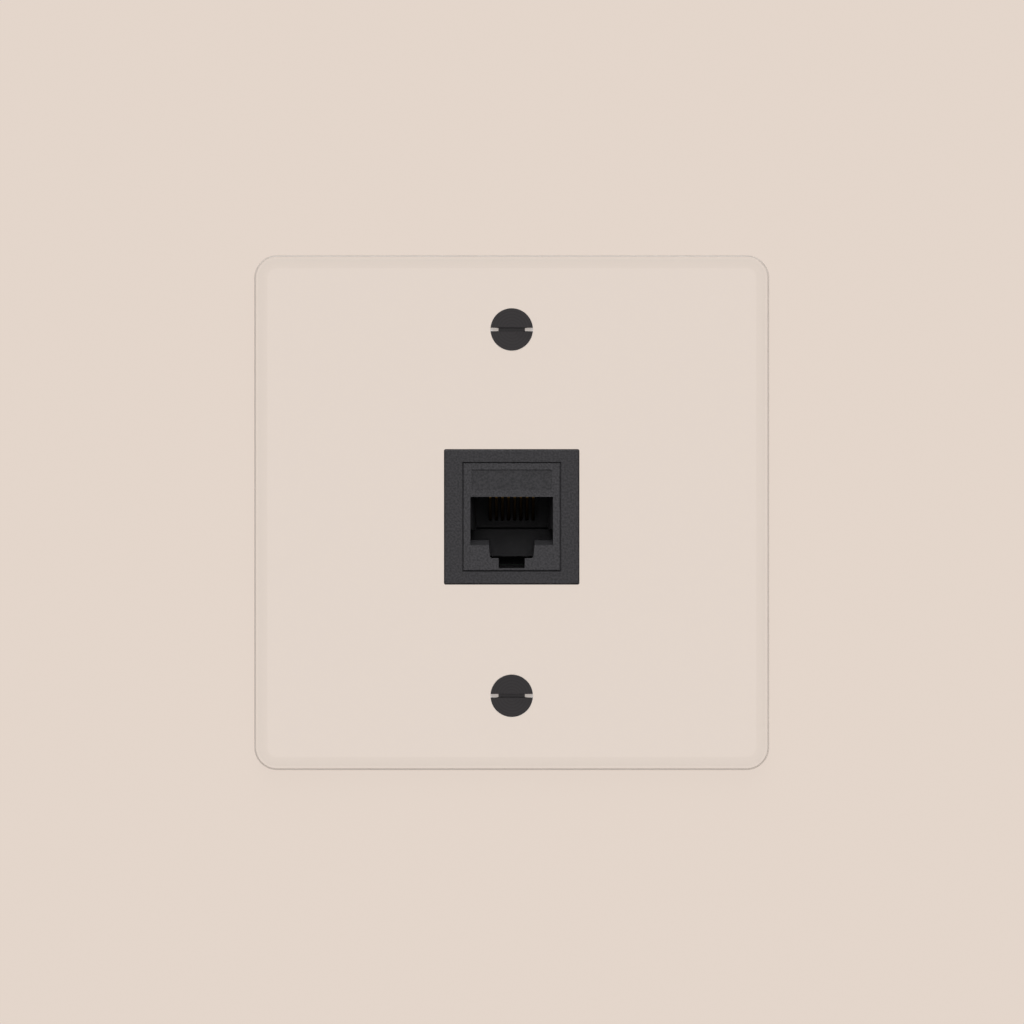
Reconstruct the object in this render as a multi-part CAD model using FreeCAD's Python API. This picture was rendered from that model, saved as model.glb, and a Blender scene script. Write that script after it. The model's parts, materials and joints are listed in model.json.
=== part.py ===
"""Ethernet wall socket: a clear wall plate with a square black bezel and a keystone RJ45 jack clipped into it.

Row frame, millimetres: +X right as seen from the room, +Y into the wall, +Z up.
The origin is midway between the two fixing screws, on the back face of the plate, which lies on the wall.

The bezel and jack are drawn in the module frame (x, d, z) and moved into place at the end:
d is the depth behind the jack's front face, and z counts from the middle of the bezel.
"""

import FreeCAD, Part
import math
import os

V = FreeCAD.Vector

# Clear wall plate
plate_side = 85.0
plate_thick = 4.0
plate_corner_r = 3.8
plate_edge_r = 2.4
plate_back_break = 0.2

# Two slotted countersunk fixing screws
fixing_centres = 60.3
screw_shank_d = 3.5
screw_head_d = 7.0
screw_rim = 0.15
screw_slot_w = 0.7
screw_slot_depth = 1.6
screw_length = 25.0
screw_tip = 0.5
screw_neck_d = 3.1
screw_hole_gap = 0.2
screw_seat_gap = 0.03

# Square bezel that snaps through the plate and holds the jack
module_drop = 0.7
bezel_side = 22.3
bezel_proud = 0.8
bezel_corner_r = 0.3
bezel_edge = 0.25
neck_side = 20.2
neck_corner_r = 0.6
neck_reach = 3.2
neck_lead = 0.4
neck_gap = 0.1
window_gap = 0.15
barb_height = 0.65
barb_width = 8.0
barb_ramp = 2.8
barb_recess_depth = 1.3
barb_recess_gap = 0.2
barb_seat_gap = 0.05
barb_tongue_thick = 1.2
barb_tongue_root = 2.4
barb_slit = 0.6

# Keystone jack housing: face, latch arm and lug
face_w = 16.0
face_h = 17.75
face_edge = 0.15
front_wall = 2.0
label_w = 13.1
label_h = 3.3
label_top_margin = 1.1
label_depth = 0.12
arm_w = 10.0
arm_thick = 2.2
arm_flex = 1.2
arm_root_r = 0.4
arm_overhang = 5.2
arm_taper = 0.7
hook_height = 0.9
hook_length = 1.9
hook_flat = 0.6
hook_wall = 1.1
hook_gap = 0.1
shoulder_height = 0.8
shoulder_length = 2.1
shoulder_flat = 0.7
thumb_ridge = 0.5
thumb_ridge_length = 1.1
lug_w = 8.0
lug_height = 0.9
lug_length = 1.4

# Plug port
port_w = 12.0
port_h = 7.15
port_top = 3.3
mouth_w = 13.6
mouth_lead = 5.0
ledge_bevel = 0.9
ledge_lead = 1.4
keyway_w = 7.5
keyway_foot_w = 7.1
keyway_drop = 2.95
keyway_corner_r = 0.35
tail_slot_w = 4.3
tail_slot_drop = 1.65
catch_wall = 1.6
catch_pocket_w = 6.5
nose_stop = 10.2

# Contact carrier and its bay in the back of the housing
bay_w = 12.6
foot_lap = 0.15
foot_lift = 0.25
foot_relief = 3.2
bay_depth = 3.6
bay_floor_wall = 0.9
body_roof = 0.9
tongue_w = 10.2
assembly_gap = 0.1
comb_depth = 2.0
comb_below_contact = 0.1
comb_recess = 0.6
comb_recess_side = 0.4
shelf_below_port_top = 5.35
shelf_groove = 0.3
shelf_groove_depth = 1.8

# Eight spring contacts of flat strip
contact_count = 8
contact_pitch = 1.016
contact_w = 0.42
contact_thick = 0.35
contact_seat_gap = 0.02
contact_slope_deg = 22.0
contact_in_comb = 1.2
contact_in_board = 0.9
contact_hole_d = 0.7
groove_gap = 0.065
groove_depth = 0.5
comb_slot_gap = 0.1

# Circuit board
board_thick = 1.2
board_gap = 0.1
skirt_wall = 0.6

# Terminal block with two columns of insulation displacement contacts
base_thick = 2.0
tower_w = 3.4
tower_spacing = 10.6
tower_length = 7.0
tower_end_wall = 1.0
slots_per_tower = 4
slot_pitch = 3.2
slot_w = 1.0
slot_depth = 6.0
slot_lead = 0.5
blade_thick = 0.5
blade_w = 2.0
blade_length = 7.6
blade_slit = 0.35
blade_slit_depth = 4.0
blade_lead = 0.35
blade_pocket_gap = 0.1
pin_side = 0.5
pin_length = 1.0
pin_hole_d = 0.9
clip_w = 4.4
clip_wall = 0.5
clip_thick = 0.7
clip_reach = 4.8
clip_hook = 0.4
clip_hook_length = 0.9
clip_gap = 0.1

# Push-on caps over the two columns
cap_wall = 0.7
cap_end_wall = 0.5
cap_roof = 0.8
cap_edge = 0.4
cap_gap = 0.15
cap_seat_gap = 0.1
cap_lift = 1.6
cap_rib_gap = 0.15
cap_rib_reach = 3.2
cap_rib_clear = 0.35
cap_notch_w = 1.4
cap_notch_depth = 2.2

# Places worked out from the sizes above, in the module frame
plate_front = bezel_proud
plate_back = bezel_proud + plate_thick
neck_end = plate_back + neck_reach
face_top = face_h / 2
face_bottom = -face_h / 2
arm_low = face_top - arm_thick
body_top = arm_low - arm_flex
port_floor = port_top - port_h
keyway_floor = port_floor - keyway_drop
slot_floor = keyway_floor - tail_slot_drop
shelf_z = port_top - shelf_below_port_top
bay_end = nose_stop + bay_depth
bay_top = body_top - body_roof
bay_floor = face_bottom + bay_floor_wall
foot_bay_w = mouth_w + 2 * foot_lap
tongue_top = bay_top - assembly_gap
groove_floor = tongue_top - groove_depth
groove_w = contact_w + 2 * groove_gap
comb_slot_w = contact_w + 2 * comb_slot_gap
contact_run_z = groove_floor + contact_seat_gap + contact_thick / 2
contact_slope = math.radians(contact_slope_deg)
contact_tail_d = bay_end + contact_in_board
contact_tip_d = nose_stop + contact_in_comb
fold_z = (groove_floor + port_top) / 2
fold_r = contact_run_z - fold_z
nose_r = (groove_floor - port_top) / 2
fold_d = front_wall + fold_r + contact_thick / 2 + assembly_gap
hook_back = neck_end - hook_wall - hook_gap
hook_front = hook_back - hook_length
board_end = bay_end + board_thick
base_end = board_end + base_thick
tower_end = base_end + tower_length
terminal_z = (body_top + face_bottom) / 2
tower_x = tower_spacing / 2
clip_z = shelf_z + clip_wall + clip_gap + clip_w / 2
tower_half_length = (slots_per_tower - 1) * slot_pitch / 2 + slot_w / 2 + tower_end_wall
slot_z = [terminal_z + (i - (slots_per_tower - 1) / 2) * slot_pitch for i in range(slots_per_tower)]
contact_x = [(i - (contact_count - 1) / 2) * contact_pitch for i in range(contact_count)]
barb_catch = plate_back - barb_recess_depth

CUT = 1.0  # how far a cutting tool runs past the face it cuts through


def block(x_low, x_high, d_low, d_high, z_low, z_high):
    return Part.makeBox(x_high - x_low, d_high - d_low, z_high - z_low, V(x_low, d_low, z_low))


def slab(width, d_low, d_high, z_low, z_high):
    """A block centred on the middle plane x = 0."""
    return block(-width / 2, width / 2, d_low, d_high, z_low, z_high)


def square_bar(side, d_low, d_high):
    return slab(side, d_low, d_high, -side / 2, side / 2)


def polygon_face(points):
    return Part.Face(Part.makePolygon(points + points[:1]))


def side_profile(points, x_low, x_high):
    """A (d, z) outline run from x_low to x_high."""
    return polygon_face([V(x_low, d, z) for d, z in points]).extrude(V(x_high - x_low, 0, 0))


def top_profile(points, z_low, z_high):
    """An (x, d) outline run from z_low to z_high."""
    return polygon_face([V(x, d, z_low) for x, d in points]).extrude(V(0, 0, z_high - z_low))


def tapered_hole(front, back):
    """A hole between two (width, d, z_low, z_high) rectangles."""
    wires = []
    for width, d, z_low, z_high in (front, back):
        half = width / 2
        corners = [V(-half, d, z_low), V(half, d, z_low), V(half, d, z_high), V(-half, d, z_high)]
        wires.append(Part.makePolygon(corners + corners[:1]))
    return Part.makeLoft(wires, True, True)


def mirror_x(shape):
    return shape.mirror(V(0, 0, 0), V(1, 0, 0))


def both_sides(shape):
    return [shape, mirror_x(shape)]


def edges_at(shape, d):
    """The edges that lie in the plane at depth d."""
    return [e for e in shape.Edges if all(abs(v.Y - d) < 1e-6 for v in e.Vertexes)]


def depth_edges(shape):
    """The straight edges that run along the depth."""
    found = []
    for e in shape.Edges:
        a, b = e.Vertexes[0].Point, e.Vertexes[-1].Point
        if abs(a.x - b.x) < 1e-6 and abs(a.z - b.z) < 1e-6:
            found.append(e)
    return found


def rounded_bar(side, corner_r, d_low, d_high):
    bar = square_bar(side, d_low, d_high)
    return bar.makeFillet(corner_r, depth_edges(bar))


def turned(profile):
    """A solid turned about the Y axis from (radius, y) points that start and end on the axis."""
    face = polygon_face([V(r, y, 0) for r, y in profile])
    return face.revolve(V(0, 0, 0), V(0, 1, 0), 360)


def in_row_frame(shape):
    """Moves a shape from the module frame to the row frame."""
    return shape.translated(V(0, -plate_back, -module_drop))


def fixing_points():
    return [V(0, -plate_thick, side * fixing_centres / 2) for side in (1, -1)]


def face_plate():
    """Cast acrylic plate with a softly rounded front edge, in the row frame."""
    plate = rounded_bar(plate_side, plate_corner_r, -plate_thick, 0)
    plate = plate.makeFillet(plate_edge_r, edges_at(plate, -plate_thick))
    plate = plate.makeChamfer(plate_back_break, edges_at(plate, 0))
    neck_hole = rounded_bar(
        neck_side + 2 * neck_gap, neck_corner_r + neck_gap, plate_front - CUT, plate_back + CUT)
    recess_w = neck_side + 2 * barb_height + 2 * barb_recess_gap
    recess_h = barb_width / 2 + barb_recess_gap
    barb_recess = slab(recess_w, barb_catch, plate_back + CUT, -recess_h, recess_h)
    plate = plate.cut([in_row_frame(neck_hole), in_row_frame(barb_recess)])
    return plate.cut([countersink().translated(p) for p in fixing_points()])


def countersink():
    """The space for one screw: a through hole with a conical seat."""
    hole_r = screw_shank_d / 2 + screw_hole_gap
    spread = screw_seat_gap * math.sqrt(2)
    mouth_r = screw_head_d / 2 + spread
    seat_end = screw_rim + mouth_r - hole_r
    through = plate_thick + CUT
    return turned([(0, -CUT), (mouth_r, -CUT), (mouth_r, screw_rim), (hole_r, seat_end),
                   (hole_r, through), (0, through)])


def plate_screws():
    """Two slotted countersunk screws, flush with the front of the plate, in the row frame.

    The slim neck under each head passes through the plate, and the full diameter starts at the wall.
    """
    head_r = screw_head_d / 2
    neck_r = screw_neck_d / 2
    shank_r = screw_shank_d / 2
    cone_end = screw_rim + head_r - neck_r
    screw = turned([(0, 0), (head_r, 0), (head_r, screw_rim), (neck_r, cone_end), (neck_r, plate_thick),
                    (shank_r, plate_thick), (shank_r, screw_length - screw_tip),
                    (shank_r - screw_tip, screw_length), (0, screw_length)])
    slot = slab(screw_head_d + 2 * CUT, -CUT, screw_slot_depth, -screw_slot_w / 2, screw_slot_w / 2)
    screw = screw.cut(slot)
    return Part.makeCompound([screw.translated(p) for p in fixing_points()])


def module_bezel():
    """Square frame: a flange on the front of the plate and a neck that carries the keystone window."""
    flange = rounded_bar(bezel_side, bezel_corner_r, 0, plate_front)
    flange = flange.makeChamfer(bezel_edge, edges_at(flange, 0))
    neck = rounded_bar(neck_side, neck_corner_r, plate_front, neck_end)
    neck = neck.makeChamfer(neck_lead, edges_at(neck, neck_end))
    bezel = flange.fuse(neck).removeSplitter()
    window_w = face_w + 2 * window_gap
    window_h = face_h + 2 * window_gap
    cuts = [slab(window_w, -CUT, neck_end + CUT, -window_h / 2, window_h / 2)]
    arm_slot_w = arm_w + 2 * hook_gap
    cuts.append(slab(arm_slot_w, hook_front, hook_back + hook_gap, 0, neck_side / 2 + CUT))
    lug_slot_w = lug_w + 2 * hook_gap
    lug_front = hook_back - lug_length
    cuts.append(slab(lug_slot_w, lug_front - hook_gap, hook_back + hook_gap, -neck_side / 2 - CUT, 0))
    half = barb_width / 2
    tongue_in = neck_side / 2 - barb_tongue_thick
    cuts.append(slab(2 * tongue_in, barb_tongue_root, neck_end + CUT, -half - barb_slit, half + barb_slit))
    for low, high in ((half, half + barb_slit), (-half - barb_slit, -half)):
        cuts.append(slab(neck_side + CUT, barb_tongue_root, neck_end + CUT, low, high))
    bezel = bezel.cut(cuts)
    return bezel.fuse(both_sides(snap_barb())).removeSplitter()


def snap_barb():
    """The wedge on one tongue of the bezel that catches in the recess at the back of the plate."""
    root = neck_side / 2
    catch = barb_catch + barb_seat_gap
    outline = [(root - barb_tongue_thick / 2, catch), (root + barb_height, catch),
               (root, catch + barb_ramp), (root - barb_tongue_thick / 2, catch + barb_ramp)]
    return top_profile(outline, -barb_width / 2, barb_width / 2)


def latch_arm():
    """The springy arm along the top of the jack, with its hook, shoulder and thumb ridge."""
    shoulder = neck_end + hook_gap
    arm_end = neck_end + arm_overhang
    outline = [
        (front_wall - CUT, arm_low), (front_wall, arm_low), (arm_end, arm_low + arm_taper),
        (arm_end, face_top + thumb_ridge), (arm_end - thumb_ridge_length / 2, face_top + thumb_ridge),
        (arm_end - thumb_ridge_length, face_top), (shoulder + shoulder_length, face_top),
        (shoulder + shoulder_flat, face_top + shoulder_height), (shoulder, face_top + shoulder_height),
        (shoulder, face_top), (hook_back, face_top), (hook_back, face_top + hook_height),
        (hook_back - hook_flat, face_top + hook_height), (hook_front + hook_gap, face_top),
        (front_wall - CUT, face_top)]
    return side_profile(outline, -arm_w / 2, arm_w / 2)


def plug_port():
    """The space a plug goes into, from the wide mouth back to the contact carrier.

    Above the shelf, a cheek on each side narrows the mouth to the plug's width.
    """
    stop = nose_stop + assembly_gap
    ledge_low = port_floor - ledge_bevel
    parts = [
        tapered_hole((mouth_w, 0, shelf_z, port_top), (port_w, mouth_lead, shelf_z, port_top)),
        slab(port_w, mouth_lead, stop, shelf_z, port_top),
        slab(mouth_w, 0, stop, port_floor, shelf_z),
        tapered_hole((mouth_w, 0, ledge_low, shelf_z), (mouth_w, ledge_lead, port_floor, shelf_z)),
        keyway(0, stop),
        slab(tail_slot_w, -CUT, catch_wall, slot_floor, keyway_floor + ledge_bevel),
        slab(catch_pocket_w, catch_wall, nose_stop + foot_relief, slot_floor, ledge_low),
        slab(mouth_w, -CUT, 0, ledge_low, port_top),
        keyway(-CUT, 0),
    ]
    return parts[0].fuse(parts[1:]).removeSplitter()


def keyway(d_low, d_high):
    """The way for the plug's latch: a little narrower at its floor, with rounded lower corners."""
    ledge_low = port_floor - ledge_bevel
    half, foot = keyway_w / 2, keyway_foot_w / 2
    outline = [V(-half, d_low, shelf_z), V(-half, d_low, ledge_low), V(-foot, d_low, keyway_floor),
               V(foot, d_low, keyway_floor), V(half, d_low, ledge_low), V(half, d_low, shelf_z)]
    bar = polygon_face(outline).extrude(V(0, d_high - d_low, 0))
    corners = [e for e in depth_edges(bar) if abs(e.Vertexes[0].Z - keyway_floor) < 1e-6]
    return bar.makeFillet(keyway_corner_r, corners)


def clip_recess():
    """Room on one side of the housing for the terminal block's clip and its hook."""
    side = face_w / 2
    floor_x = side - clip_thick - clip_gap
    front = bay_end - clip_reach - clip_gap
    low = clip_z - clip_w / 2 - clip_gap
    high = clip_z + clip_w / 2 + clip_gap
    channel = block(floor_x, side + CUT, front, bay_end + CUT, low, high)
    notch_end = front + clip_hook_length + 2 * clip_gap
    notch = block(floor_x - clip_hook, side, front, notch_end, low, high)
    return channel.fuse(notch)


def jack_housing():
    """Keystone jack body: face, port, contact bay, latch arm above and fixed lug below."""
    front = slab(face_w, 0, front_wall, face_bottom, face_top)
    front = front.makeChamfer(face_edge, edges_at(front, 0))
    body = slab(face_w, front_wall, bay_end, face_bottom, body_top)
    lug_front = hook_back - lug_length
    lug = slab(lug_w, lug_front, hook_back, face_bottom - lug_height, face_bottom + CUT)
    housing = front.fuse([body, latch_arm(), lug]).removeSplitter()
    roots = [e for e in edges_at(housing, front_wall)
             if all(min(abs(v.Z - arm_low), abs(v.Z - body_top)) < 1e-6 for v in e.Vertexes)
             and abs(e.Vertexes[0].Z - e.Vertexes[-1].Z) < 1e-6]
    housing = housing.makeFillet(arm_root_r, roots)
    label_high = face_top - label_top_margin
    cuts = [
        plug_port(),
        slab(label_w, -CUT, label_depth, label_high - label_h, label_high),
        slab(tongue_w + 2 * assembly_gap, front_wall, bay_end + CUT, port_floor, bay_top),
        slab(bay_w, nose_stop, bay_end + CUT, bay_floor, bay_top),
        slab(foot_bay_w, nose_stop, bay_end + CUT, bay_floor, shelf_z),
    ]
    return housing.cut(cuts + both_sides(clip_recess()))


def contact_carrier():
    """Insert behind the port: a wide foot that closes it, a tongue that the contacts fold round, and a comb.

    The middle of the foot ends just above the keyway's floor, so the tail slot runs on below it.
    """
    rear = slab(bay_w - 2 * assembly_gap, nose_stop, bay_end, bay_floor + assembly_gap, tongue_top)
    foot = slab(foot_bay_w - 2 * assembly_gap, nose_stop, bay_end, bay_floor + assembly_gap, shelf_z - assembly_gap)
    deck = slab(tongue_w, fold_d, bay_end, port_top, tongue_top)
    nose = Part.makeCylinder(nose_r, tongue_w, V(-tongue_w / 2, fold_d, fold_z), V(1, 0, 0))
    carrier = rear.fuse([foot, deck, nose]).removeSplitter()
    recess_w = contact_pitch * contact_count + 2 * comb_recess_side
    slot_low = arm_height(contact_tip_d) - contact_thick / 2 - comb_below_contact
    cuts = [
        slab(recess_w, nose_stop - CUT, nose_stop + comb_recess, shelf_z + shelf_groove, port_top),
        slab(port_w, nose_stop - CUT, nose_stop + shelf_groove_depth, shelf_z, shelf_z + shelf_groove),
        slab(keyway_w, nose_stop - CUT, nose_stop + foot_relief, bay_floor, keyway_floor + foot_lift),
    ]
    for x in contact_x:
        cuts.append(block(x - groove_w / 2, x + groove_w / 2, 0, bay_end + CUT, groove_floor, tongue_top + CUT))
        cuts.append(comb_slot(x, slot_low))
    return carrier.cut(cuts)


def comb_slot(x, low):
    """The slot for one contact's free end, with a rounded lower end."""
    half = comb_slot_w / 2
    straight = block(x - half, x + half, nose_stop - CUT, nose_stop + comb_depth, low + half, port_top)
    round_end = Part.makeCylinder(half, comb_depth + CUT, V(x, nose_stop - CUT, low + half), V(0, 1, 0))
    return straight.fuse(round_end)


def fold_end(radius):
    """Where a line bent round the tongue's nose at this radius leaves the bend, as (d, z)."""
    return fold_d - radius * math.sin(contact_slope), fold_z - radius * math.cos(contact_slope)


def arm_height(d):
    """Height of a contact's sloping arm at depth d, on its centre line."""
    start_d, start_z = fold_end(fold_r)
    return start_z - (d - start_d) * math.tan(contact_slope)


def contact_wire(x):
    """One spring contact: forward from the board, folded round the tongue and sloping down into the comb."""
    arm_start_d = fold_end(fold_r)[0]
    arm_length = (contact_tip_d - arm_start_d) / math.cos(contact_slope)
    sides = []
    for radius in (fold_r + contact_thick / 2, fold_r - contact_thick / 2):
        end_d, end_z = fold_end(radius)
        tip_d = end_d + arm_length * math.cos(contact_slope)
        tip_z = end_z - arm_length * math.sin(contact_slope)
        sides.append([V(x - contact_w / 2, d, z) for d, z in (
            (contact_tail_d, fold_z + radius), (fold_d, fold_z + radius), (fold_d - radius, fold_z),
            (end_d, end_z), (tip_d, tip_z))])
    edges = []
    for tail, bend_start, bend_front, bend_end, tip in sides:
        edges += [Part.makeLine(tail, bend_start), Part.Arc(bend_start, bend_front, bend_end).toShape(),
                  Part.makeLine(bend_end, tip)]
    outer, inner = sides
    edges += [Part.makeLine(outer[0], inner[0]), Part.makeLine(outer[-1], inner[-1])]
    outline = Part.Wire(Part.__sortEdges__(edges))
    return Part.Face(outline).extrude(V(contact_w, 0, 0))


def circuit_board():
    """Board between the spring contacts and the terminals, drilled for both."""
    width = face_w - 2 * skirt_wall - 2 * board_gap
    low = face_bottom + skirt_wall + board_gap
    high = body_top - skirt_wall - board_gap
    board = slab(width, bay_end, board_end, low, high)
    holes = []
    for x in contact_x:
        holes.append(drill(contact_hole_d, x, contact_run_z))
    for side in (-1, 1):
        for z in slot_z:
            holes.append(drill(pin_hole_d, side * tower_x, z))
    return board.cut(holes)


def drill(diameter, x, z):
    return Part.makeCylinder(diameter / 2, board_thick + 2 * CUT, V(x, bay_end - CUT, z), V(0, 1, 0))


def terminal_block():
    """Rear moulding: a skirt round the board, two slotted columns and a clip on each side."""
    base = slab(face_w, bay_end, base_end, face_bottom, body_top)
    towers = both_sides(tower())
    clips = both_sides(side_clip())
    block_shape = base.fuse(towers + clips).removeSplitter()
    board_room = slab(face_w - 2 * skirt_wall, bay_end - CUT, board_end,
                      face_bottom + skirt_wall, body_top - skirt_wall)
    return block_shape.cut([board_room] + both_sides(terminal_cuts()))


def tower():
    low = terminal_z - tower_half_length
    high = terminal_z + tower_half_length
    return block(tower_x - tower_w / 2, tower_x + tower_w / 2, base_end - CUT, tower_end, low, high)


def terminal_cuts():
    """The wire slots with their flared mouths and the blade pockets of one column."""
    cuts = []
    x_low = tower_x - tower_w / 2 - CUT
    x_high = tower_x + tower_w / 2 + CUT
    half_pocket = blade_thick / 2 + blade_pocket_gap
    for z in slot_z:
        half = slot_w / 2
        flare = half + slot_lead
        outline = [(tower_end + CUT, z - flare), (tower_end, z - flare), (tower_end - 2 * slot_lead, z - half),
                   (tower_end - slot_depth, z - half), (tower_end - slot_depth, z + half),
                   (tower_end - 2 * slot_lead, z + half), (tower_end, z + flare), (tower_end + CUT, z + flare)]
        cuts.append(side_profile(outline, x_low, x_high))
        pocket_half = blade_w / 2 + blade_pocket_gap
        cuts.append(block(tower_x - half_pocket, tower_x + half_pocket, board_end - CUT, tower_end + CUT,
                          z - pocket_half, z + pocket_half))
    return cuts[0].fuse(cuts[1:])


def side_clip():
    """The arm that runs forward along the housing and hooks into its side."""
    side = face_w / 2
    inner = side - clip_thick
    front = bay_end - clip_reach
    hook_end = front + clip_hook_length
    outline = [(side, bay_end + CUT), (inner, bay_end + CUT), (inner, hook_end), (inner - clip_hook, hook_end),
               (inner, front), (side, front)]
    return top_profile(outline, clip_z - clip_w / 2, clip_z + clip_w / 2)


def terminal_blade(side, z):
    """One forked terminal with its solder pin, standing on the board in its pocket."""
    half = blade_w / 2
    slit = blade_slit / 2
    top = board_end + blade_length
    slit_end = top - blade_slit_depth
    pin = pin_side / 2
    outline = [
        (board_end, z - half), (top - blade_lead, z - half), (top, z - half + blade_lead),
        (top, z - slit - blade_lead), (top - 2 * blade_lead, z - slit), (slit_end, z - slit),
        (slit_end, z + slit), (top - 2 * blade_lead, z + slit), (top, z + slit + blade_lead),
        (top, z + half - blade_lead), (top - blade_lead, z + half), (board_end, z + half),
        (board_end, z + pin), (board_end - pin_length, z + pin), (board_end - pin_length, z - pin),
        (board_end, z - pin)]
    x = side * tower_x
    return side_profile(outline, x - blade_thick / 2, x + blade_thick / 2)


def terminal_cap():
    """Push-on cap over the right-hand column, with ribs that press the wires home."""
    inner_half = tower_w / 2 + cap_gap
    outer_half = inner_half + cap_wall
    length_half = tower_half_length + cap_gap
    end_half = length_half + cap_end_wall
    mouth = base_end + cap_lift
    ceiling = tower_end + cap_seat_gap
    shell = block(tower_x - outer_half, tower_x + outer_half, mouth, ceiling + cap_roof,
                  terminal_z - end_half, terminal_z + end_half)
    shell = shell.makeChamfer(cap_edge, edges_at(shell, ceiling + cap_roof))
    room = block(tower_x - inner_half, tower_x + inner_half, mouth - CUT, ceiling,
                 terminal_z - length_half, terminal_z + length_half)
    notches = []
    ribs = []
    rib_half = slot_w / 2 - cap_rib_gap
    clear = blade_thick / 2 + cap_rib_clear
    for z in slot_z:
        notches.append(block(tower_x - outer_half - CUT, tower_x + outer_half + CUT, mouth - CUT,
                             mouth + cap_notch_depth, z - cap_notch_w / 2, z + cap_notch_w / 2))
        for low, high in ((-inner_half, -clear), (clear, inner_half)):
            ribs.append(block(tower_x + low, tower_x + high, ceiling - cap_rib_reach, ceiling + cap_roof / 2,
                              z - rib_half, z + rib_half))
    return shell.cut([room] + notches).fuse(ribs).removeSplitter()


def build_parts():
    """Every node by name, in the row frame."""
    nodes = {
        "face_plate": face_plate(),
        "plate_screws": plate_screws(),
        "module_bezel": in_row_frame(module_bezel()),
        "jack_housing": in_row_frame(jack_housing()),
        "contact_carrier": in_row_frame(contact_carrier()),
        "circuit_board": in_row_frame(circuit_board()),
        "terminal_block": in_row_frame(terminal_block()),
    }
    for number, x in enumerate(contact_x, 1):
        nodes[f"contact_wire_{number}"] = in_row_frame(contact_wire(x))
    for side, name in ((-1, "left"), (1, "right")):
        for number, z in enumerate(reversed(slot_z), 1):
            nodes[f"terminal_blade_{name}_{number}"] = in_row_frame(terminal_blade(side, z))
    right_cap = terminal_cap()
    nodes["terminal_cap_right"] = in_row_frame(right_cap)
    nodes["terminal_cap_left"] = in_row_frame(mirror_x(right_cap))
    return nodes


def main():
    os.makedirs("parts", exist_ok=True)
    for name, shape in build_parts().items():
        print(f"{name}: {len(shape.Solids)} solid, valid {shape.isValid()}, {shape.Volume:.2f} mm3")
        shape.exportStep(f"parts/{name}.step")


if __name__ == "__main__":
    main()
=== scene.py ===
"""Ethernet wall socket: a clear plate with two slotted screws, and a black bezel and jack in the middle."""

import json
import math

import bmesh
import bpy
from mathutils import Matrix, Vector

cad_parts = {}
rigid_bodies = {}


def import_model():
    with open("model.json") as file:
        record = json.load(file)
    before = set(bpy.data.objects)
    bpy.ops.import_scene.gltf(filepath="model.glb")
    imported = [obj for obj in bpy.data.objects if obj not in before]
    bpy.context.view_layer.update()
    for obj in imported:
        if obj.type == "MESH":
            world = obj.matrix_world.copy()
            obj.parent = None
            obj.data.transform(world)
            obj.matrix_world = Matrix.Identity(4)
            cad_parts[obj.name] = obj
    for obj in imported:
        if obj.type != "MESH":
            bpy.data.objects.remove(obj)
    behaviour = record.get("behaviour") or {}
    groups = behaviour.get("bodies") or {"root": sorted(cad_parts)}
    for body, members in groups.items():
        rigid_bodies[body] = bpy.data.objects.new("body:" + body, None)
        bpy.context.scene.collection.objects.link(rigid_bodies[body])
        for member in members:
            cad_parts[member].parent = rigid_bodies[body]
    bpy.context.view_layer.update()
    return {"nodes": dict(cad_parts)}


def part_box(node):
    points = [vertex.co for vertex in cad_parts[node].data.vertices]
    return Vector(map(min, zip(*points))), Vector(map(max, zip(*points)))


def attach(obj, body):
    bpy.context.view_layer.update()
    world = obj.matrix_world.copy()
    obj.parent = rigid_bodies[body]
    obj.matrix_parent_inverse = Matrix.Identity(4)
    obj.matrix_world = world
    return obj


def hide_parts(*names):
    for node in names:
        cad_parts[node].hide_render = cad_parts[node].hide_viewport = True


# The scene starts empty
for leftover in list(bpy.data.objects):
    bpy.data.objects.remove(leftover)

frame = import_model()
nodes = frame["nodes"]

MM = 0.001

# Sizes and places that the solids give, in metres
plate_low, plate_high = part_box("face_plate")
bezel_low, bezel_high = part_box("module_bezel")
screws_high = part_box("plate_screws")[1]
PLATE_SIDE = plate_high.x - plate_low.x
PLATE_FRONT = plate_low.y
PLATE_BACK = plate_high.y
FACE_FRONT = bezel_low.y
MODULE_Z = (bezel_low.z + bezel_high.z) / 2
SCREW_HEAD_R = screws_high.x
SCREW_Z = screws_high.z - SCREW_HEAD_R
SCREW_END = screws_high.y

# The plate, its window for the bezel's neck, the recess for the barbs and the countersunk screw holes
PLATE_CORNER_R = 3.8 * MM
PLATE_EDGE_R = 2.4 * MM
PLATE_BACK_BREAK = 0.2 * MM
WINDOW_SIDE = 20.4 * MM
WINDOW_CORNER_R = 0.7 * MM
BARB_RECESS_W = 21.9 * MM
BARB_RECESS_H = 8.4 * MM
BARB_RECESS_DEPTH = 1.3 * MM
SCREW_HOLE_R = 1.95 * MM
SEAT_GAP = 0.042 * MM

# The plate is sawn, not polished, where its rim turns further than this from the front
RIM_TILT = math.radians(58)

# The screws
SCREW_RIM = 0.15 * MM
SCREW_EDGE_R = 0.07 * MM
SCREW_NECK_R = 1.55 * MM
SCREW_SHANK_R = 1.75 * MM
SCREW_TIP = 0.5 * MM
SLOT_W = 0.57 * MM
SLOT_DEPTH = 1.42 * MM
SLOT_BREAK = 0.04 * MM

# The thread. Its flat root and its two flanks are shares of the pitch, and it deepens along its run-in.
THREAD_PITCH = 0.6 * MM
THREAD_DEPTH = 0.33 * MM
THREAD_ROOT = 0.12
THREAD_FLANKS = 0.66
THREAD_RUN_IN = 1.5 * THREAD_PITCH

# Steps to a quarter turn of rounded edges and corners
PLATE_EDGE_STEPS = 20
PLATE_CORNER_STEPS = 24
WINDOW_CORNER_STEPS = 8
SCREW_EDGE_STEPS = 6

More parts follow.
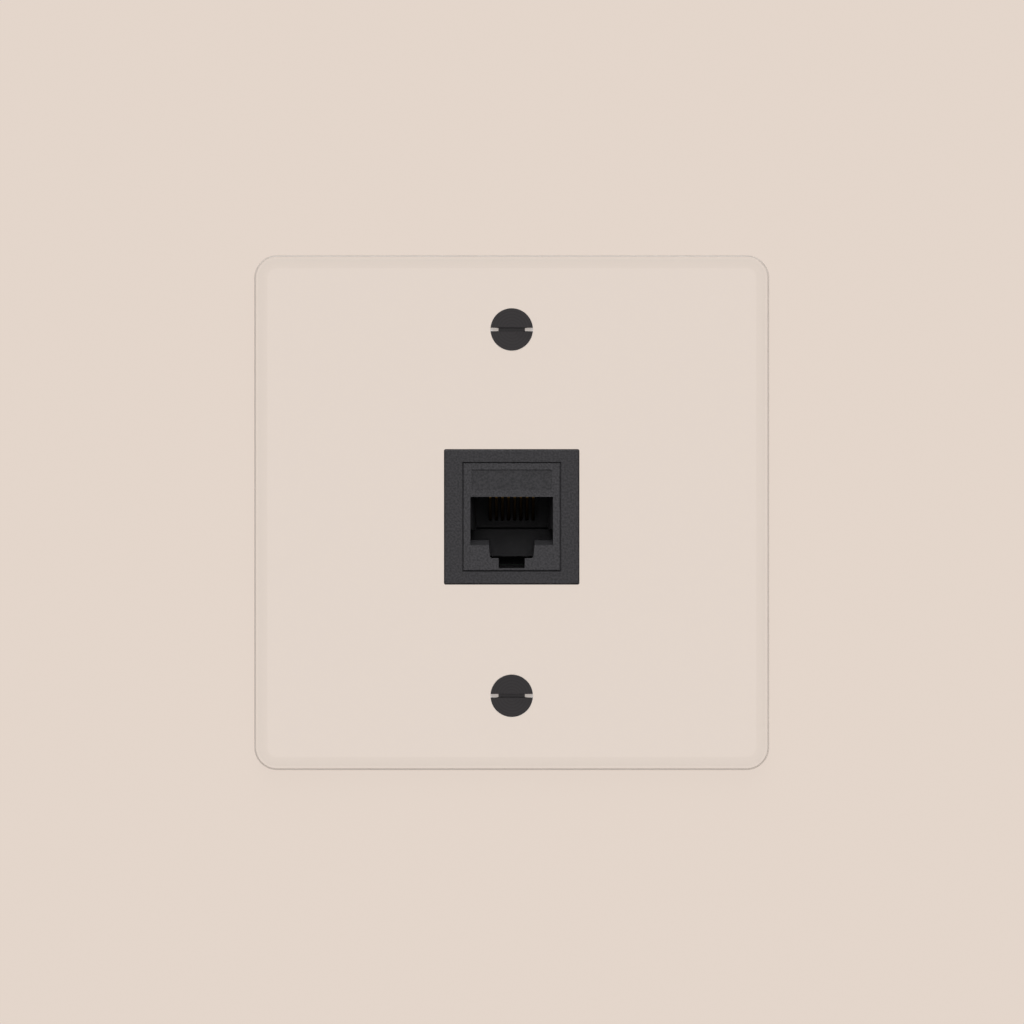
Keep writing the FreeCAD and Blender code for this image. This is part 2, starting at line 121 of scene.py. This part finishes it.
# Steps to a full turn of the screws and their seats, and rings to one pitch of the thread
SEAT_STEPS = 72
HEAD_STEPS = 96
SHANK_STEPS = 36
PITCH_RINGS = 8

# Edges that turn further than these angles are shaded sharp, or rounded in this many steps
SHARP_FROM = math.radians(30)
SCREW_SHARP_FROM = math.radians(38)
SOLID_ROUND_FROM = math.radians(38)
SLOT_ROUND_FROM = math.radians(50)
ROUND_STEPS = 2

# How far cuts reach past the faces that they open, and the gap within which points of a solid are joined
CUT_PAST = 1 * MM
WELD_GAP = 0.001 * MM

# How far behind the front the etched grain of the mouldings starts to fade and ends, the share of it left
# there, and the share of the face's tone left in its hollows. The same fade paints the walls behind the front
# darker, as shade in the port, in the label's recess and at the back.
ETCH_FADE = 0.02 * MM
ETCH_END = 0.3 * MM
ETCH_AND_LIGHT_LEFT = 0.2
ETCH_HOLLOW = 0.33

# The wall and its hole, which the bezel hides, as widths and heights
WALL = (3000 * MM, 3000 * MM)
WALL_HOLE = (21.2 * MM, 21.2 * MM)
WALL_GAP = 0.1 * MM

# The share of the wall's brightness that no shadow takes away
WALL_GLOW = 0.96

# A dark frame inside the seam round the jack: painted shade that stands for the dark of a wall box, and keeps
# out the light from behind the wall
SEAM_OUTER = (19.0 * MM, 19.0 * MM)
SEAM_INNER = (15.5 * MM, 17.3 * MM)
SEAM_DEPTH = 0.22 * MM

# The picture's width at the front of the plate and where its middle lies, and the camera's own sizes
PICTURE_W = 168.6 * MM
PICTURE_X = 0.05 * MM
PICTURE_Z = 0.1 * MM
LENS = 200.0
SENSOR = 36.0
CLIP_START = 10 * MM

# The sky that lights the socket and the plainer one that its gloss mirrors, as soft patches of light.
# Each has its direction, the angles in degrees where it is full and where it ends, and its level outside
# and inside.
LIGHT = [
    ((0, -0.609, 0.793), 10, 42, 0.32, 5.6),
    ((0.35, 0.75, 0.55), 10, 80, 0.0, 1.55),
]
MIRRORED = [
    ((0, -1, 0), 4, 14, 0.3, 0.95),
    ((0, 0.9, 0.4), 10, 90, 0.0, 0.6),
]

# Light runs far along the inside of the clear plate before it leaves, so it may bounce this often
BOUNCES = 40

# The values between which most of a noise pattern lies, and the narrower ones that give the etched grain bite
NOISE_SPAN = (0.35, 0.65)
GRAIN_SPAN = (0.38, 0.62)

# A wave texture turns by this many radians in one unit of its scale
WAVE_RADIANS = 20

# The two colours and the result among the sockets of a mix node, several of which share a name
MIX_FIRST = 6
MIX_SECOND = 7
MIX_RESULT = 2

# The signs of X and Z in the four corners of an upright square, in the order of their angles
CORNERS = ((1, 1), (-1, 1), (-1, -1), (1, -1))


def linear(code):
    """An sRGB hex colour as linear RGBA."""
    channels = [int(code[i:i + 2], 16) / 255 for i in (1, 3, 5)]
    return [c / 12.92 if c <= 0.04045 else ((c + 0.055) / 1.055) ** 2.4 for c in channels] + [1.0]


def per_mm(size):
    """The texture scale at which one cell of a pattern is this many millimetres wide."""
    return 1 / (size * MM)


def waves_per_mm(size):
    """The texture scale at which waves are this many millimetres apart."""
    return per_mm(size) * 2 * math.pi / WAVE_RADIANS


def add(tree, kind, settings=None, links=None):
    """Adds a node, sets its properties or sockets, and links its sockets to the outputs given."""
    made = tree.nodes.new(kind)
    for key, value in (settings or {}).items():
        if isinstance(key, str) and hasattr(made, key):
            setattr(made, key, value)
        else:
            made.inputs[key].default_value = value
    for key, output in (links or {}).items():
        tree.links.new(output, made.inputs[key])
    return made


def surface(name, settings):
    """A new material: itself, its nodes, its main shader with these values, and the place on the object."""
    made = bpy.data.materials.new(name)
    made.use_nodes = True
    tree = made.node_tree
    shader = tree.nodes["Principled BSDF"]
    for key, value in settings.items():
        shader.inputs[key].default_value = value
    return made, tree, shader, add(tree, "ShaderNodeTexCoord").outputs["Object"]


def vary(tree, shader, pattern, tones, rough, relief_mm=0.0, span=NOISE_SPAN):
    """Lets a span of one pattern's values vary a surface's colour, its roughness and its relief."""
    share = add(tree, "ShaderNodeMapRange", {"From Min": span[0], "From Max": span[1]},
                {"Value": pattern}).outputs["Result"]
    tone = add(tree, "ShaderNodeMix",
               {"data_type": "RGBA", MIX_FIRST: linear(tones[0]), MIX_SECOND: linear(tones[1])}, {0: share})
    tree.links.new(tone.outputs[MIX_RESULT], shader.inputs["Base Color"])
    dull = add(tree, "ShaderNodeMapRange", {"To Min": rough[0], "To Max": rough[1]}, {"Value": share})
    tree.links.new(dull.outputs["Result"], shader.inputs["Roughness"])
    if relief_mm:
        bump = add(tree, "ShaderNodeBump", {"Distance": relief_mm * MM}, {"Height": share})
        tree.links.new(bump.outputs["Normal"], shader.inputs["Normal"])


def polished_acrylic():
    """Cast acrylic sheet, polished: water clear, a little rougher where its edge is buffed round, and painted
    a little grey there as shade along the edge.
    """
    mat, tree, shader, place = surface("polished_acrylic", {"IOR": 1.49, "Transmission Weight": 1.0})
    # How far a point lies past the straight part of the sides. A metre taken off the depth leaves it out.
    straight = PLATE_SIDE / 2 - PLATE_CORNER_R
    folded = add(tree, "ShaderNodeVectorMath", {"operation": "ABSOLUTE"}, {0: place})
    past = add(tree, "ShaderNodeVectorMath", {"operation": "SUBTRACT", 1: (straight, 1.0, straight)},
               {0: folded.outputs["Vector"]})
    outward = add(tree, "ShaderNodeVectorMath", {"operation": "MAXIMUM", 1: (0.0, 0.0, 0.0)},
                  {0: past.outputs["Vector"]})
    reach = add(tree, "ShaderNodeVectorMath", {"operation": "LENGTH"}, {0: outward.outputs["Vector"]})
    # The tone greys toward the rounded edge as painted shade; the roughness rises there as on a buffed edge.
    vary(tree, shader, reach.outputs["Value"], ("#FFFFFF", "#F7F8F8"), (0.0, 0.06),
         span=(PLATE_CORNER_R - PLATE_EDGE_R, PLATE_CORNER_R))
    return mat


def cut_acrylic():
    """Acrylic where it was sawn and scraped: frosted pale grey, with fine tool marks."""
    mat, tree, shader, place = surface("cut_acrylic", {"IOR": 1.49, "Transmission Weight": 0.75})
    # Scraping marks are about 0.05 mm wide, drawn at 0.4 mm so that they show.
    marks = add(tree, "ShaderNodeTexNoise", {"Scale": per_mm(0.4), "Detail": 3.0}, {"Vector": place})
    vary(tree, shader, marks.outputs["Fac"], ("#C5C1BE", "#CFCCC9"), (0.3, 0.5))
    return mat


def drilled_acrylic():
    """Acrylic where it was drilled and countersunk: frosted nearly white, with fine marks from the drill."""
    mat, tree, shader, place = surface("drilled_acrylic", {"IOR": 1.49, "Transmission Weight": 0.7})
    # Drill marks are about 0.05 mm wide, drawn at 0.2 mm so that they show.
    marks = add(tree, "ShaderNodeTexNoise", {"Scale": per_mm(0.2), "Detail": 2.0}, {"Vector": place})
    vary(tree, shader, marks.outputs["Fac"], ("#E2E9F2", "#EAF0F7"), (0.35, 0.5))
    return mat


def black_oxide_steel(name, tones, rough):
    """Steel with a black oxide finish: dark and satin, with faint rings from turning."""
    mat, tree, shader, place = surface(name, {"Metallic": 1.0})
    # Turning marks are about 0.05 mm apart, drawn at 0.5 mm so that they show.
    rings = add(tree, "ShaderNodeTexWave",
                {"wave_type": "RINGS", "rings_direction": "Y", "Scale": waves_per_mm(0.5),
                 "Distortion": 2.0, "Detail": 3.0, "Detail Scale": 0.6}, {"Vector": place})
    vary(tree, shader, rings.outputs["Fac"], tones, rough, relief_mm=0.001, span=(0.0, 1.0))
    return mat


def etched_plastic(name, body, face, grain_mm, relief_mm):
    """Black plastic from a mould etched on its front: a grained face, with smoother walls behind, painted
    darker as shade.
    """
    mat, tree, shader, place = surface(name, {"IOR": 1.53, "Specular IOR Level": 0.4})
    # The etched grain is about 0.1 mm wide, drawn about three times as coarse so that it shows.
    grain = add(tree, "ShaderNodeTexNoise", {"Scale": per_mm(grain_mm), "Detail": 2.0, "Roughness": 0.6},
                {"Vector": place})
    mottle = add(tree, "ShaderNodeMapRange",
                 {"From Min": GRAIN_SPAN[0], "From Max": GRAIN_SPAN[1], "To Min": ETCH_HOLLOW},
                 {"Value": grain.outputs["Fac"]})
    depth = add(tree, "ShaderNodeSeparateXYZ", None, {0: place})
    # Further behind the front the tone falls to the darker one, painted shade in the port and its recesses,
    # and the grain and roughness fall with it.
    front = add(tree, "ShaderNodeMapRange",
                {"From Min": FACE_FRONT + ETCH_END, "From Max": FACE_FRONT + ETCH_FADE, "To Min": ETCH_AND_LIGHT_LEFT},
                {"Value": depth.outputs["Y"]})
    etched = add(tree, "ShaderNodeMath", {"operation": "MULTIPLY"},
                 {0: mottle.outputs["Result"], 1: front.outputs["Result"]})
    vary(tree, shader, etched.outputs["Value"], (body, face), (0.46, 0.66), relief_mm, span=(0.0, 1.0))
    return mat


def matte_polyester():
    """Black polyester insert from a spark-eroded mould: dark and dull, with faint flow marks."""
    mat, tree, shader, place = surface("matte_polyester", {"IOR": 1.55, "Specular IOR Level": 0.25})
    # Flow marks are 1 to 2 mm wide.
    flow = add(tree, "ShaderNodeTexNoise", {"Scale": per_mm(1.5), "Detail": 2.0}, {"Vector": place})
    vary(tree, shader, flow.outputs["Fac"], ("#353436", "#3B3A3C"), (0.75, 0.85), relief_mm=0.004)
    return mat


def gold_plate():
    """A thin flash of gold on sprung bronze strip: warm, a little dull, with faint streaks along it."""
    mat, tree, shader, place = surface("gold_plated_bronze", {"Metallic": 1.0})
    # Rolling streaks are about 0.02 mm wide, drawn at 0.15 mm so that they show.
    drawn = add(tree, "ShaderNodeMapping", {"Scale": (1.0, 0.12, 1.0)}, {"Vector": place})
    streak = add(tree, "ShaderNodeTexNoise", {"Scale": per_mm(0.15), "Detail": 2.0},
                 {"Vector": drawn.outputs["Vector"]})
    vary(tree, shader, streak.outputs["Fac"], ("#7E6230", "#91713B"), (0.3, 0.44))
    return mat


def tin_plate():
    """Dull tin plate on stamped bronze: pale grey, with a soft crystalline bloom."""
    mat, tree, shader, place = surface("tin_plated_bronze", {"Metallic": 1.0})
    # The crystals of the tin are about 0.35 mm wide.
    bloom = add(tree, "ShaderNodeTexVoronoi", {"Scale": per_mm(0.35)}, {"Vector": place})
    vary(tree, shader, bloom.outputs["Distance"], ("#CFCCC4", "#DEDBD4"), (0.32, 0.46), span=(0.1, 0.8))
    return mat


def glass_epoxy_board():
    """Glass-epoxy board under green solder mask: a satin lacquer that just shows the threads below."""
    mat, tree, shader, place = surface("glass_epoxy_board", {"IOR": 1.5, "Coat Weight": 0.1})
    # The threads of the glass cloth are about 0.6 mm apart, drawn at 0.9 mm so that they show.
    threads = add(tree, "ShaderNodeTexWave",
                  {"bands_direction": "X", "Scale": waves_per_mm(0.9), "Distortion": 0.4}, {"Vector": place})
    vary(tree, shader, threads.outputs["Fac"], ("#124A2E", "#175737"), (0.42, 0.52), relief_mm=0.004,
         span=(0.2, 0.8))
    return mat


def natural_nylon():
    """Natural nylon caps, moulded: milky and slightly see-through, with a satin skin."""
    mat, tree, shader, place = surface("natural_nylon", {
        "IOR": 1.53, "Subsurface Weight": 0.25, "Subsurface Radius": (1.0, 0.9, 0.75),
        "Subsurface Scale": 0.8 * MM})
    # The skin is uneven over about 0.6 mm.
    uneven = add(tree, "ShaderNodeTexNoise", {"Scale": per_mm(0.6), "Detail": 3.0}, {"Vector": place})
    vary(tree, shader, uneven.outputs["Fac"], ("#DDD8CA", "#E3DED0"), (0.32, 0.44), relief_mm=0.003)
    return mat


def matte_wall():
    """Plain pale wall, matte. It is bright to the eye and in gloss and glass, and keeps a faint shadow.

    From behind, the camera sees through it to the back of the socket.
    """
    colour = linear("#E4D6CB")
    mat, tree, shader, _ = surface("matte_wall", {"Base Color": colour, "Roughness": 0.95})
    lit = shader.outputs["BSDF"]
    ray = add(tree, "ShaderNodeLightPath").outputs
    glow = add(tree, "ShaderNodeEmission", {"Color": colour}).outputs["Emission"]
    bright = add(tree, "ShaderNodeMixShader", {0: WALL_GLOW}, {1: lit, 2: glow}).outputs["Shader"]
    seen = lit
    for kind in ("Is Camera Ray", "Is Glossy Ray", "Is Transmission Ray"):
        seen = add(tree, "ShaderNodeMixShader", None, {0: ray[kind], 1: seen, 2: bright}).outputs["Shader"]
    behind = add(tree, "ShaderNodeNewGeometry").outputs["Backfacing"]
    hidden = add(tree, "ShaderNodeMath", {"operation": "MULTIPLY"}, {0: behind, 1: ray["Is Camera Ray"]})
    clear = add(tree, "ShaderNodeBsdfTransparent").outputs["BSDF"]
    whole = add(tree, "ShaderNodeMixShader", None, {0: hidden.outputs["Value"], 1: seen, 2: clear})
    tree.links.new(whole.outputs["Shader"], tree.nodes["Material Output"].inputs["Surface"])
    return mat


def painted_seam_shade():
    """Matte dark grey: painted shade, as a narrow gap looks in front of a dark wall box."""
    return surface("painted_seam_shade", {"Base Color": linear("#2F2E30"), "Roughness": 1.0})[0]


def make_object(name, bm, materials, sharp_from=SHARP_FROM):
    """Turns a bmesh into a smooth object with sharp edges kept."""
    bmesh.ops.recalc_face_normals(bm, faces=bm.faces)
    mesh = bpy.data.meshes.new(name)
    bm.to_mesh(mesh)
    bm.free()
    made = bpy.data.objects.new(name, mesh)
    bpy.context.scene.collection.objects.link(made)
    for mat in materials:
        mesh.materials.append(mat)
    soften(made, sharp_from)
    return made


def soften(made, sharp_from):
    """Shades a mesh smooth, apart from the edges that turn further than an angle."""
    made.data.polygons.foreach_set("use_smooth", [True] * len(made.data.polygons))
    made.data.set_sharp_from_angle(angle=sharp_from)


def flatten_normals(body):
    """Shades flat faces as flat, right up to their rounded edges."""
    body.modifiers.new("true_normals", "WEIGHTED_NORMAL").keep_sharp = True


def round_edges(body, radius, turn_from):
    """Rounds the edges that turn further than an angle."""
    edge = body.modifiers.new("edges", "BEVEL")
    edge.width = radius
    edge.segments = ROUND_STEPS
    edge.limit_method = "ANGLE"
    edge.angle_limit = turn_from


def bake_modifiers(body):
    """Makes the modifiers' result the body's own mesh."""
    shaped = body.evaluated_get(bpy.context.evaluated_depsgraph_get())
    mesh = bpy.data.meshes.new_from_object(shaped)
    body.modifiers.clear()
    body.data = mesh


def carve(body, cutters):
    """Cuts objects out of a body for good. The cut faces take the cutters' materials."""
    for cutter in cutters:
        cut = body.modifiers.new("cut", "BOOLEAN")
        cut.operation = "DIFFERENCE"
        cut.solver = "EXACT"
        cut.material_mode = "TRANSFER"
        cut.object = cutter
    bake_modifiers(body)
    for cutter in cutters:
        bpy.data.objects.remove(cutter)


def skin(rings):
    """Joins closed rings of points with faces and caps the first and last ring."""
    bm = bmesh.new()
    loops = [[bm.verts.new(p) for p in ring] for ring in rings]
    count = len(loops[0])
    for near, far in zip(loops, loops[1:]):
        for i in range(count):
            j = (i + 1) % count
            bm.faces.new((near[i], near[j], far[j], far[i]))
    bm.faces.new(loops[0])
    bm.faces.new(loops[-1])
    return bm


def rounded_square(side, corner_r, y, steps, z_middle=0.0):
    """The points round an upright square with rounded corners at depth y."""
    points = []
    centre = side / 2 - corner_r
    for corner, (sx, sz) in enumerate(CORNERS):
        for step in range(steps + 1):
            angle = math.radians(90 * corner + 90 * step / steps)
            points.append(Vector((sx * centre + corner_r * math.cos(angle), y,
                                  z_middle + sz * centre + corner_r * math.sin(angle))))
    return points


def turned(outline, steps):
    """A form turned about the Y axis from the radii and depths of its outline."""
    angles = [2 * math.pi * i / steps for i in range(steps)]
    return skin([[Vector((radius * math.cos(a), y, radius * math.sin(a))) for a in angles]
                 for radius, y in outline])


def quarter_round(radius, steps):
    """How far the points of a rounded edge stand in from the side, and how deep they lie behind the face."""
    angles = [math.radians(90 * k / steps) for k in range(steps + 1)]
    return [(radius * (1 - math.sin(a)), radius * (1 - math.cos(a))) for a in angles]


def cut_box(name, mat, low, high):
    """A box between two corners, to cut with."""
    low, high = Vector(low), Vector(high)
    bm = bmesh.new()
    bmesh.ops.create_cube(bm, size=1.0, matrix=Matrix.LocRotScale((low + high) / 2, None, high - low))
    return make_object(name, bm, [mat])


def plate_blank():
    """The plate before it is cut, with its front edge rounded and its back edge broken."""
    rings = []
    for inset, depth in quarter_round(PLATE_EDGE_R, PLATE_EDGE_STEPS):
        rings.append(rounded_square(PLATE_SIDE - 2 * inset, PLATE_CORNER_R - inset, PLATE_FRONT + depth,
                                    PLATE_CORNER_STEPS))
    for inset, y in ((0.0, PLATE_BACK - PLATE_BACK_BREAK), (PLATE_BACK_BREAK, PLATE_BACK)):
        rings.append(rounded_square(PLATE_SIDE - 2 * inset, PLATE_CORNER_R - inset, y, PLATE_CORNER_STEPS))
    blank = make_object("clear_plate", skin(rings), [CLEAR, CUT])
    for face in blank.data.polygons:
        outward = math.hypot(face.normal.x, face.normal.z)
        face.material_index = 1 if outward > math.sin(RIM_TILT) else 0
    return blank


def screw_seat(z):
    """A countersunk screw hole at this height, to cut with."""
    mouth_r = SCREW_HEAD_R + SEAT_GAP
    mouth_end = PLATE_FRONT + SCREW_RIM
    outline = [
        (mouth_r, PLATE_FRONT - CUT_PAST),
        (mouth_r, mouth_end),
        (SCREW_HOLE_R, mouth_end + mouth_r - SCREW_HOLE_R),
        (SCREW_HOLE_R, PLATE_BACK + CUT_PAST),
    ]
    seat = make_object("seat_cut", turned(outline, SEAT_STEPS), [DRILLED])
    seat.data.transform(Matrix.Translation((0, 0, z)))
    return seat


def clear_plate():
    """The wall plate with its square window, barb recess and countersunk holes."""
    plate = plate_blank()
    window = make_object("window_cut", skin([
        rounded_square(WINDOW_SIDE, WINDOW_CORNER_R, y, WINDOW_CORNER_STEPS, MODULE_Z)
        for y in (PLATE_FRONT - CUT_PAST, PLATE_BACK + CUT_PAST)]), [CUT])
    recess = cut_box("recess_cut", CUT,
                     (-BARB_RECESS_W / 2, PLATE_BACK - BARB_RECESS_DEPTH, MODULE_Z - BARB_RECESS_H / 2),
                     (BARB_RECESS_W / 2, PLATE_BACK + CUT_PAST, MODULE_Z + BARB_RECESS_H / 2))
    carve(plate, [window, recess, screw_seat(SCREW_Z), screw_seat(-SCREW_Z)])
    soften(plate, SHARP_FROM)
    flatten_normals(plate)
    return plate


def screw_head():
    """Countersunk head and neck of one screw, with the head's face at depth 0."""
    rounding = quarter_round(SCREW_EDGE_R, SCREW_EDGE_STEPS)
    outline = [(SCREW_HEAD_R - inset, depth) for inset, depth in rounding]
    outline.append((SCREW_HEAD_R, SCREW_RIM))
    outline.append((SCREW_NECK_R, SCREW_RIM + SCREW_HEAD_R - SCREW_NECK_R))
    outline.append((SCREW_NECK_R, -PLATE_FRONT))
    head = make_object("screw_head", turned(outline, HEAD_STEPS), [STEEL])
    slot_end = SCREW_HEAD_R + CUT_PAST
    # The slot's faces take the steel painted lighter, as light falling into the slot.
    carve(head, [cut_box("slot_cut", SLOT_STEEL_LIT, (-slot_end, -CUT_PAST, -SLOT_W / 2),
                         (slot_end, SLOT_DEPTH, SLOT_W / 2))])
    round_edges(head, SLOT_BREAK, SLOT_ROUND_FROM)
    bake_modifiers(head)
    return head


def thread_radius(along, turn):
    """Radius of the thread at a distance along the shank, turned by a share of one turn."""
    phase = (along / THREAD_PITCH - turn) % 1.0
    from_root = abs(phase - 0.5) * 2
    flank = min(max((from_root - THREAD_ROOT) / THREAD_FLANKS, 0.0), 1.0)
    start = min(along / THREAD_RUN_IN, 1.0)
    return SCREW_SHANK_R - THREAD_DEPTH * (1 - flank) * start


def threaded_shank():
    """The shank from the wall to the tip, with a cut thread."""
    count = round(SCREW_END / THREAD_PITCH * PITCH_RINGS)
    rings = []
    for i in range(count + 1):
        along = SCREW_END * i / count
        tip_r = SCREW_SHANK_R - max(0.0, along - (SCREW_END - SCREW_TIP))
        ring = []
        for j in range(SHANK_STEPS):
            angle = 2 * math.pi * j / SHANK_STEPS
            radius = min(thread_radius(along, j / SHANK_STEPS), tip_r)
            ring.append(Vector((radius * math.cos(angle), along - PLATE_FRONT, radius * math.sin(angle))))
        rings.append(ring)
    return make_object("screw_shank", skin(rings), [STEEL])


def plate_screws():
    """Two detailed screws that share one mesh."""
    bm = bmesh.new()
    for made in (screw_head(), threaded_shank()):
        bm.from_mesh(made.data)
        bpy.data.objects.remove(made)
    upper = make_object("plate_screw_upper", bm, [STEEL, SLOT_STEEL_LIT], SCREW_SHARP_FROM)
    lower = bpy.data.objects.new("plate_screw_lower", upper.data)
    bpy.context.scene.collection.objects.link(lower)
    for screw, z in ((upper, SCREW_Z), (lower, -SCREW_Z)):
        screw.location = (0, PLATE_FRONT, z)
        flatten_normals(screw)
        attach(screw, "socket")
        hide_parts("plate_screws")


def dress(piece, mat, edge_mm):
    """Gives a solid its finish and small rounded edges."""
    piece.data.materials.clear()
    piece.data.materials.append(mat)
    piece.modifiers.new("join", "WELD").merge_threshold = WELD_GAP
    round_edges(piece, edge_mm * MM, SOLID_ROUND_FROM)
    flatten_normals(piece)


def upright_sheet(name, outer, hole, y, mat):
    """An upright sheet that faces the camera, with a hole in its middle. Both have a width and a height."""
    bm = bmesh.new()
    rim, edge = [[bm.verts.new((sx * width / 2, y, MODULE_Z + sz * height / 2)) for sx, sz in CORNERS]
                 for width, height in (outer, hole)]
    for i in range(len(CORNERS)):
        bm.faces.new((rim[i - 1], rim[i], edge[i], edge[i - 1]))
    sheet = make_object(name, bm, [mat])
    if sheet.data.polygons[0].normal.y > 0:
        sheet.data.flip_normals()


def soft_light(tree, patches):
    """A sky made of soft patches of light."""
    heading = add(tree, "ShaderNodeTexCoord").outputs["Generated"]
    total = None
    for direction, full, end, low, high in patches:
        middle = Vector(direction).normalized()
        facing = add(tree, "ShaderNodeVectorMath", {"operation": "DOT_PRODUCT", 1: middle}, {0: heading})
        patch = add(tree, "ShaderNodeMapRange", {
            "interpolation_type": "SMOOTHSTEP", "To Min": low, "To Max": high,
            "From Min": math.cos(math.radians(end)), "From Max": math.cos(math.radians(full))},
            {"Value": facing.outputs["Value"]}).outputs["Result"]
        if total:
            patch = add(tree, "ShaderNodeMath", {"operation": "ADD"}, {0: total, 1: patch}).outputs["Value"]
        total = patch
    return add(tree, "ShaderNodeBackground", None, {"Strength": total}).outputs["Background"]


def studio():
    """Soft light on the socket, a plainer sky in its gloss, and a pale tone for the eye and in the plate."""
    world = bpy.data.worlds.new("studio")
    bpy.context.scene.world = world
    world.use_nodes = True
    tree = world.node_tree
    ray = add(tree, "ShaderNodeLightPath").outputs
    even = tree.nodes["Background"]
    even.inputs["Color"].default_value = linear("#EDE7E1")
    even.inputs["Strength"].default_value = 1.0
    pale = even.outputs["Background"]
    mirrored = soft_light(tree, MIRRORED)
    seen = soft_light(tree, LIGHT)
    for kind, shown in (("Is Glossy Ray", mirrored), ("Is Camera Ray", pale), ("Is Transmission Ray", pale)):
        seen = add(tree, "ShaderNodeMixShader", None, {0: ray[kind], 1: seen, 2: shown}).outputs["Shader"]
    tree.links.new(seen, tree.nodes["World Output"].inputs["Surface"])


def front_camera():
    """A long lens straight in front of the plate, just far enough off to take in the picture's width."""
    camera = bpy.data.cameras.new("camera")
    camera.sensor_width = SENSOR
    camera.lens = LENS
    camera.clip_start = CLIP_START
    eye = bpy.data.objects.new("camera", camera)
    bpy.context.scene.collection.objects.link(eye)
    eye.location = (PICTURE_X, PLATE_FRONT - PICTURE_W * LENS / SENSOR, PICTURE_Z)
    eye.rotation_euler = (math.radians(90), 0, 0)
    bpy.context.scene.camera = eye


CLEAR = polished_acrylic()
CUT = cut_acrylic()
DRILLED = drilled_acrylic()
STEEL = black_oxide_steel("black_oxide_steel", ("#4C494A", "#514E4F"), (0.3, 0.36))
# The sawn slot is a little rougher, and its steel is painted lighter, as light falling into the slot.
SLOT_STEEL_LIT = black_oxide_steel("slot_black_oxide_painted_lighter", ("#625F60", "#676465"), (0.36, 0.42))
# The first of each moulding's tones is for its walls behind the front, painted darker as shade.
BEZEL = etched_plastic("etched_abs", "#161517", "#3B393C", grain_mm=0.32, relief_mm=0.013)
JACK = etched_plastic("etched_polycarbonate", "#1A1A1C", "#413F42", grain_mm=0.32, relief_mm=0.013)
BLOCK = etched_plastic("moulded_polyester", "#242325", "#4A494B", grain_mm=0.3, relief_mm=0.012)
CARRIER = matte_polyester()
GOLD = gold_plate()
TIN = tin_plate()
BOARD = glass_epoxy_board()
NYLON = natural_nylon()

# The finish of the solids by how their names start, and the radius of their edges in millimetres
FINISHES = {
    "module_bezel": (BEZEL, 0.05),
    "jack_housing": (JACK, 0.03),
    "contact_carrier": (CARRIER, 0.03),
    "contact_wire": (GOLD, 0.05),
    "circuit_board": (BOARD, 0.02),
    "terminal_block": (BLOCK, 0.06),
    "terminal_blade": (TIN, 0.03),
    "terminal_cap": (NYLON, 0.1),
}

plate = clear_plate()
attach(plate, "socket")
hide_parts("face_plate")
plate_screws()

for name, solid in nodes.items():
    for start, (mat, edge_mm) in FINISHES.items():
        if name.startswith(start):
            dress(solid, mat, edge_mm)

upright_sheet("wall", WALL, WALL_HOLE, PLATE_BACK + WALL_GAP, matte_wall())
# A frame of painted shade in the seam round the jack
upright_sheet("seam_shade_frame", SEAM_OUTER, SEAM_INNER, FACE_FRONT + SEAM_DEPTH, painted_seam_shade())
studio()
front_camera()
bpy.context.scene.view_settings.view_transform = "Standard"
for limit in ("max_bounces", "glossy_bounces", "transmission_bounces"):
    setattr(bpy.context.scene.cycles, limit, BOUNCES)
